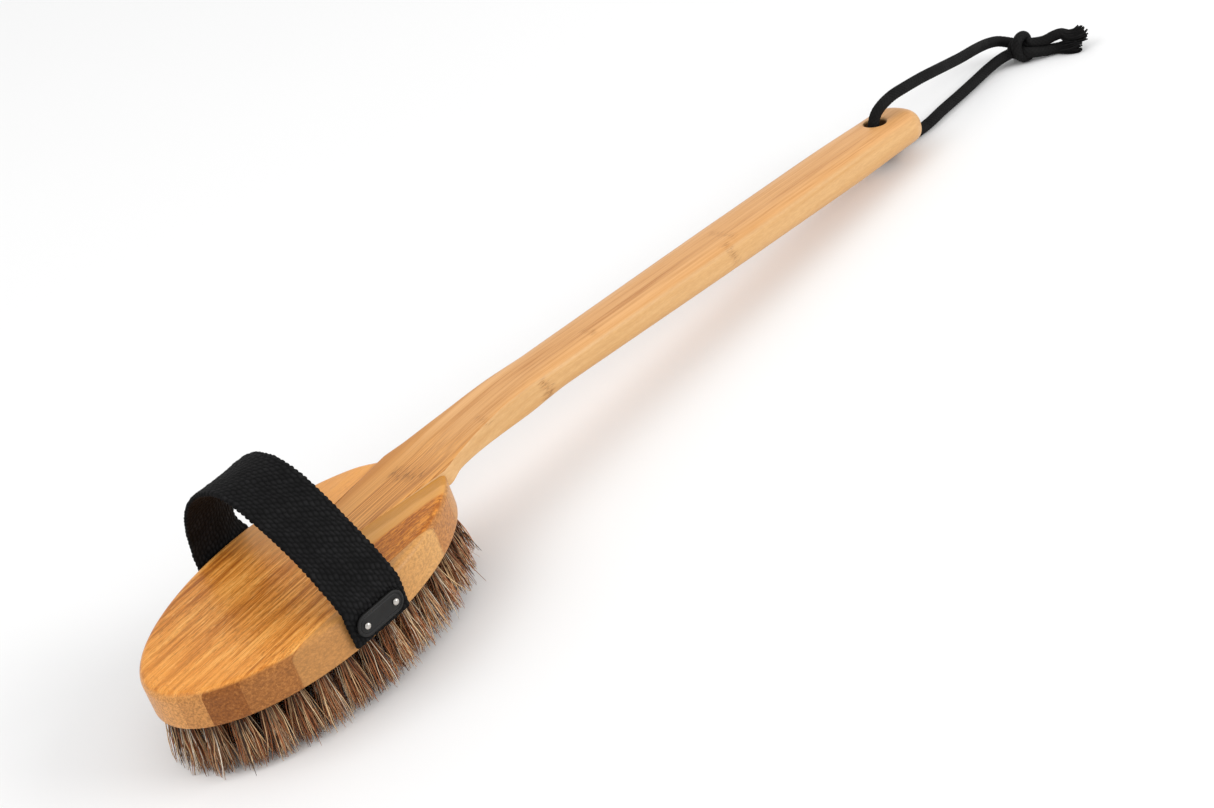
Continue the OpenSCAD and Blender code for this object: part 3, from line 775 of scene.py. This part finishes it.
def make_head():
    """Rings from the middle of the underside, up the wall and in to the middle of the back."""
    rings = []

    def ring(inset, z, shrink=1.0):
        x, y = oval((HALF_L - inset) * shrink, (HALF_W - inset) * shrink, 256)
        share = np.clip((z + EDGE) / EDGE, 0, 1)
        rings.append(np.stack([x, y, z - lip(x, y) * share], 1))

    for shrink in (0.5, 0.9):
        ring(FOOT_EDGE, -HEAD_T, shrink)
    for q in np.linspace(0, math.pi / 2, 5):
        ring(FOOT_EDGE * (1 - math.sin(q)), -HEAD_T + FOOT_EDGE * (1 - math.cos(q)))
    for z in (-11.5, -9.0, -6.5, -4.5):
        ring(0, z)
    for q in np.linspace(0, math.pi / 2, 11):
        ring(EDGE * (1 - math.cos(q)), -EDGE * (1 - math.sin(q)))
    for shrink in np.linspace(1, 0.03, 58)[1:]:
        ring(EDGE, 0, shrink)
    head = loft("head_wood", lying(rings))
    holes, faces = [], []
    cx, cy = oval(TUFT_HOLE_R, TUFT_HOLE_R, 16)
    for spots, _, _ in TUFTS.values():
        for x, y in spots:
            faces += tube_faces(2, len(cx), len(holes) * 2 * len(cx))
            holes.append([np.stack([x + cx, y + cy, np.full_like(cx, z)], 1)
                          for z in (-HEAD_T - 1, -HEAD_T + TUFT_HOLE_DEEP)])
    drill = piece("drill", lying(holes), faces)
    cut(head, [groove(), drill], 28)
    put_grain(head, False)
    return dress(head, head_bamboo, "head", "head_bamboo", "head_block")


make_head()


# ---- Handle
def fading(x, start, run):
    """1 as far as start, then easing to 0 over run."""
    return 1 - float(ease((x - start) / run))


def section(x, n=112):
    """One cross-section of tongue, neck or grip: a superellipse, squarer at the tongue."""
    t = (np.arange(n) + 0.5) * 2 * math.pi / n
    ends = (x - END_X + 12) / 12.2, (x - END_X + 9) / 9.3
    end_w, end_t = (math.sqrt(1 - q * q) if q > 0 else 1.0 for q in ends)
    top, h = float(top_z(x)), float(deep(x)) / 2
    near = far = float(half_w(x))
    far += (FAR_HW - TONGUE_HW) * fading(x, NECK_X, 30)
    if x < NECK_X:
        near, far = float(near_edge(max(x, TIP_X))), float(far_edge(max(x, TIP_X)))
    if x < TIP_X:
        end_w = math.sqrt(max(1 - ((TIP_X - x) / TIP_L) ** 2, 0.0004))
    squareness = 2.5 + 4 * fading(x, 61, 10) + 6.6 * fading(x, 80, 50) + 0.9 * fading(x, 300, 50)
    wide, high = (np.sign(w) * np.abs(w) ** (2 / squareness) for w in (np.cos(t), np.sin(t)))
    z = top - h + h * end_t * high
    z = np.where(high > 0, z - SUNK * fading(x, 60, 24) * high, z)
    undercut = math.tan(DOVETAIL) * fading(x, 61, 8) * (top - z)
    y = (far - near) / 2 + end_w * wide * ((far + near) / 2 + undercut)
    return np.stack([np.full(n, x), y, z], 1)


def bore():
    """The hanging hole, square to the grip's top, with its edges eased."""
    h = float(deep(HOLE_X))
    arc = np.linspace(0, math.pi / 2, 7)
    flare = [HOLE_R + HOLE_EDGE * (1 - math.sin(a)) for a in arc]
    down = [HOLE_EDGE * (1 - math.cos(a)) for a in arc]
    profile = [(HOLE_R + HOLE_EDGE, 8.0), *zip(flare, [-d for d in down]),
               *zip(flare[::-1], [d - h for d in down[::-1]]), (HOLE_R + HOLE_EDGE, -h - 8.0)]
    rings = []
    for r, z in profile[::-1]:
        x, y = oval(r, r, 64)
        rings.append(np.stack([HOLE_X + x * math.cos(PITCH) + z * math.sin(PITCH), y,
                               float(top_z(HOLE_X)) - x * math.sin(PITCH) + z * math.cos(PITCH)], 1))
    return loft("bore", lying(rings))


def make_handle():
    quarter = np.linspace(0, math.pi / 2, 18)
    stations = np.concatenate([TIP_X - TIP_L * np.cos(np.linspace(0.03, math.pi / 2, 14)),
                               np.arange(TIP_X + 4, 58, 4), np.arange(59, 150, 1.6),
                               np.arange(151, END_X - 13, 5), END_X - 12 + 12.05 * np.sin(quarter)])
    handle = loft("handle_wood", lying([section(x) for x in stations]))
    cut(handle, [bore()], 30)
    put_grain(handle, True)
    return dress(handle, handle_bamboo, "handle", "handle_bamboo", "handle")


make_handle()


# ---- Bristles: each hair is a tapered, slightly bent strand
def make_tufts(node, spots, lean, count, sides=3, levels=6):
    # painted shade: the inner tufts, deep among the others, are darkened
    painted_shade_factor = 1.0 if lean > 4 else 0.72  # the inner tufts are darker
    spread = 1.0 if lean else 0.85
    slope = math.tan(math.radians(lean))
    t = np.linspace(0, 1, levels)
    corner = -circle(sides)
    points, tones = [], []
    for x0, y0 in spots:
        turn = math.atan2(y0 / HALF_W, x0 / HALF_L)
        shade = rng.uniform(-0.1, 0.1)
        for _ in range(count):
            a, r = rng.uniform(0, 2 * math.pi), rng.uniform(0, 1) ** 0.6
            root = np.array([x0 + 1.9 * r * math.cos(a), y0 + 1.9 * r * math.sin(a), -HEAD_T + 1.0])
            stray = 1.0 if rng.uniform() > 0.06 else rng.uniform(1.3, 1.9)
            flare = (4.7 * r * stray + rng.normal(0, 0.6)) * spread
            length = BRISTLE_L + 1.0 - abs(rng.normal(0, 0.9))
            if rng.uniform() < 0.16:
                length -= rng.uniform(0, 3.5)
            out = slope * length
            end = np.array([x0 + flare * math.cos(a) + out * math.cos(turn) + rng.normal(0, 0.45),
                            y0 + flare * math.sin(a) + out * math.sin(turn) + rng.normal(0, 0.45),
                            root[2] - length])
            bow, curl = rng.normal(0, 0.7, 3) * (1, 1, 0), rng.normal(0, 0.35, 3) * (1, 1, 0)
            line = (root[None] + (end - root)[None] * t[:, None] + bow[None] * (3.2 * t * (1 - t))[:, None]
                    + curl[None] * np.sin(2 * math.pi * t)[:, None])
            radius = rng.uniform(0.14, 0.24) * (1 - 0.55 * t ** 2.5)
            angle = corner + rng.uniform(0, 2 * math.pi)
            points.append(np.stack([line[:, None, 0] + radius[:, None] * np.cos(angle)[None],
                                    line[:, None, 1] + radius[:, None] * np.sin(angle)[None],
                                    np.repeat(line[:, None, 2], sides, 1)], -1))
            tones.append(float(np.clip((rng.beta(1.15, 1.15) + shade) * painted_shade_factor, 0, 1)))
    placed = lying(np.array(points))
    placed[..., 2] = np.maximum(placed[..., 2], 0.00004)
    faces = []
    for k in range(len(points)):
        faces += tube_faces(levels, sides, k * levels * sides)
    tufts = piece(node + "_hair", placed, faces)
    store(tufts, "tone", np.repeat(tones, levels * sides))
    store(tufts, "along", np.repeat(np.tile(t, len(points)), sides))
    return dress(tufts, hair, "head", "bristle", node)


for tuft_node, tuft_plan in TUFTS.items():
    make_tufts(tuft_node, *tuft_plan)
# the staples stay the CAD's, in better steel
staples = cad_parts["tuft_staples"].data.materials
staples.clear()
staples.append(wire_steel)


# ---- Hand strap
RIB, FLOAT, SCALLOP = 1.45, 2.3, 1.95  # the weave's pitch across and along, and the edge's pitch
RAISED = 0.42  # height of the weave's floats
LIPPED = 1.6  # the edges round off over this width


def bezier(p, t):
    p = np.asarray(p, float)
    t = t[:, None]
    return (1 - t) ** 3 * p[0] + 3 * t * (1 - t) ** 2 * p[1] + 3 * t * t * (1 - t) * p[2] + t ** 3 * p[3]


def uneven(i, j):
    """A fixed number from 0 to 1, as if by chance, for two whole numbers."""
    return np.abs(np.sin(i * 12.9898 + j * 78.233) * 43758.5453) % 1


def weave(across, run):
    """Height of the webbing's coarse rib weave, from 0 to 1: staggered, slightly uneven floats of warp."""
    column = across / RIB + 0.20 * np.sin(run / 2.3 + across / 4) + 0.14 * np.sin(run / 0.9 + across)
    whole = np.floor(column)
    along = run / FLOAT + 0.5 * (whole % 2) + 0.35 * (column - whole) + 0.55 * (uneven(whole, 3) - 0.5)
    size = 0.62 + 0.38 * uneven(whole, np.floor(along))
    return size * np.abs(np.sin(math.pi * column)) ** 0.6 * np.abs(np.sin(math.pi * along)) ** 0.55


def strap_line():
    """The arch's middle line, as (y, z): up one wall, over the hand's space and down the other."""
    leg = HALF_W + WALL_GAP + STRAP_T / 2
    near = [(-leg, 0), (-leg, 4), (-14.5, STRAP_H - 2.6), (3, STRAP_H)]
    far = [(3, STRAP_H), (15, STRAP_H + 1.4), (35.6, 28.5), (leg, 0)]
    t = np.linspace(0, 1, 200)
    line = np.vstack([[(-leg, LEG_LOW)], bezier(near, t), bezier(far, t)[1:], [(leg, LEG_LOW)]])
    return resample(line, 0.30)


def make_strap():
    line = strap_line()
    total = length_of(line)
    tangent = np.gradient(line, axis=0)
    tangent /= np.linalg.norm(tangent, axis=1)[:, None]
    normal = np.stack([-tangent[:, 1], tangent[:, 0]], 1)
    half = STRAP_W / 2
    across = np.linspace(-half, half, 104)
    edge = np.clip((np.abs(across) - half + LIPPED) / LIPPED, 0, 1)
    body = np.sqrt(np.clip(1 - edge ** 3.2, 0.0, 1))
    rows, raised = [], []
    for place, out, run in zip(line, normal, np.arange(len(line)) * total / (len(line) - 1)):
        # the woven edge goes in and out
        scallop = (0.34 + 0.30 * uneven(np.floor(run / SCALLOP), 5)) * abs(math.sin(math.pi * run / SCALLOP))
        scallop += 0.16 * math.sin(run / 7.0) - 0.16
        x = across * (1 + scallop / half * (np.abs(across) / half) ** 6)
        # above the far screws the heel-side edge turns out and in
        above = total - run
        twist = ease((above - 9) / 7) * (1 - ease((above - 34) / 16)) * np.clip(across / half, 0, 1) ** 1.4
        # soft webbing is slightly hollow where free
        free = ease((total / 2 - abs(run - total / 2) - 20) / 12)
        sag = 0.35 * math.sin(run / 17.0) * np.cos(across / STRAP_W * math.pi) * free
        floats, back_floats = weave(across, run), weave(across + 0.6, run + 0.8)
        outer = body * (STRAP_T / 2 - RAISED + RAISED * floats)
        inner = -body * (STRAP_T / 2 - RAISED + RAISED * back_floats)
        raised += [floats, back_floats[::-1]]
        for level, order in ((outer, slice(None)), (inner, slice(None, None, -1))):
            offset = level + sag + 2.4 * twist
            y, z = place[0] + out[0] * offset, place[1] + out[1] * offset
            rows.append(np.stack([x - 2.2 * twist, y, z], 1)[order])
    rings = np.array(rows).reshape(len(line), 2 * len(across), 3)
    strap = loft("hand_strap_webbing", lying(turn_z(rings + (STRAP_X, 0, 0), STRAP_TURN)))
    store(strap, "height", raised)
    dress(strap, webbing, "head", "webbing", "hand_strap")


make_strap()


# ---- Plates and screws, built flat with +Z out of the wall, then stood against it
def on_wall(points, side):
    """side -1 is the near wall, 1 the far one. Local x runs along the wall, y up and z out of it."""
    p = np.asarray(points, float)
    local = np.stack([p[..., 0], -p[..., 2] - HALF_W, p[..., 1]], -1)
    if side > 0:
        local = turn_z(local, 180)
    return lying(turn_z(local + (STRAP_X, 0, PLATE_Z), STRAP_TURN))


def pill(inset, z, n=24):
    r, run = PLATE_H / 2 - inset, (PLATE_L - PLATE_H) / 2
    a = np.linspace(-math.pi / 2, math.pi / 2, n)
    right = [(run + r * math.cos(q), r * math.sin(q), z) for q in a]
    return right + [(-x, -y, z) for x, y, _ in right]


def make_plate(side, name):
    """A moulded plate. Its profile is (inset, height in thicknesses): rim, groove and field."""
    base = WALL_GAP + STRAP_T + SNUG
    profile = [(0.12, 0.0), (0.0, 0.12), (0.0, 0.62), (0.05, 0.80), (0.16, 0.93), (0.32, 1.0),
               (0.75, 1.0), (0.86, 0.94), (0.92, 0.80), (1.02, 0.74), (1.16, 0.74), (1.26, 0.80),
               (1.34, 0.92), (1.46, 0.97), (2.2, 0.99)]
    plate = loft(name + "_moulding", on_wall([pill(i, base + z * PLATE_T) for i, z in profile], side))
    x, y = oval(SHANK_R + 0.08, SHANK_R + 0.08, 24)
    bores = [loft("bore", on_wall([np.stack([x + end * SCREW_GAP / 2, y, np.full_like(x, z)], 1)
                                   for z in (base - 1, base + 2)], side)) for end in (-1, 1)]
    cut(plate, bores, 40)
    dress(plate, plate_black, "head", "plate", name)


def make_screw(side, end, name):
    base = WALL_GAP + STRAP_T + 2 * SNUG + PLATE_T
    rim = base + 0.12
    arc = np.linspace(0, math.pi / 2, 10)[1:-1]
    profile = [(0.02, -SHANK_L), (0.4, 0.5 - SHANK_L), (SHANK_R, 1.3 - SHANK_L), (SHANK_R, base - 0.02),
               (SCREW_R - 0.1, base), (SCREW_R, rim),
               *((SCREW_R * math.cos(a), rim + SCREW_DOME * math.sin(a)) for a in arc),
               (0.02, rim + SCREW_DOME)]
    rings = []
    for r, z in profile:
        x, y = oval(r, r, 32)
        rings.append(np.stack([end * SCREW_GAP / 2 + x, y, np.full_like(x, z)], 1))
    screw = loft(name + "_dome", on_wall(rings, side), 50)
    dress(screw, screw_steel, "head", "screw", name)


for wall, word in ((-1, "near"), (1, "far")):
    make_plate(wall, "strap_plate_" + word)
    for end in (-1, 1):
        toe = (end < 0) == (wall < 0)
        make_screw(wall, end, "strap_screw_" + word + ("_toe" if toe else "_heel"))


# ---- Floor and light
def make_floor(half=6.0):
    corners = [(-half, -half, 0), (half, -half, 0), (half, half, 0), (-half, half, 0)]
    floor = piece("floor", corners, [(0, 1, 2, 3)])
    s = Shader("floor_white")
    tint = s.mix(s.noise(s.add("TexCoord", out=3), 3.0, 2), (0.86, 0.86, 0.86), (0.88, 0.88, 0.88))
    floor.data.materials.append(s.finish({"Base Color": tint, "Roughness": 0.9, "Specular IOR Level": 0.1}))


def make_sky(strength=0.82):
    world = bpy.data.worlds.new("studio")
    world.use_nodes = True
    background = world.node_tree.nodes["Background"]
    background.inputs["Color"].default_value = (1, 1, 1, 1)
    background.inputs["Strength"].default_value = strength
    scene.world = world


def make_lamp(name, at, towards, size_x, size_y, power):
    data = bpy.data.lights.new(name, "AREA")
    data.shape, data.size, data.size_y, data.energy = "RECTANGLE", size_x, size_y, power
    lamp = bpy.data.objects.new(name, data)
    lamp.location = at
    lamp.rotation_mode = "QUATERNION"
    lamp.rotation_quaternion = (Vector(towards) - Vector(at)).to_track_quat("-Z", "Y")
    scene.collection.objects.link(lamp)


make_floor()
make_sky()
make_lamp("key", (1.0, -1.5, 0.95), (0, 0, 0.02), 1.5, 0.9, 20)
make_lamp("fill", (-0.9, 0.5, 1.5), (0, 0, 0), 1.2, 1.2, 8)
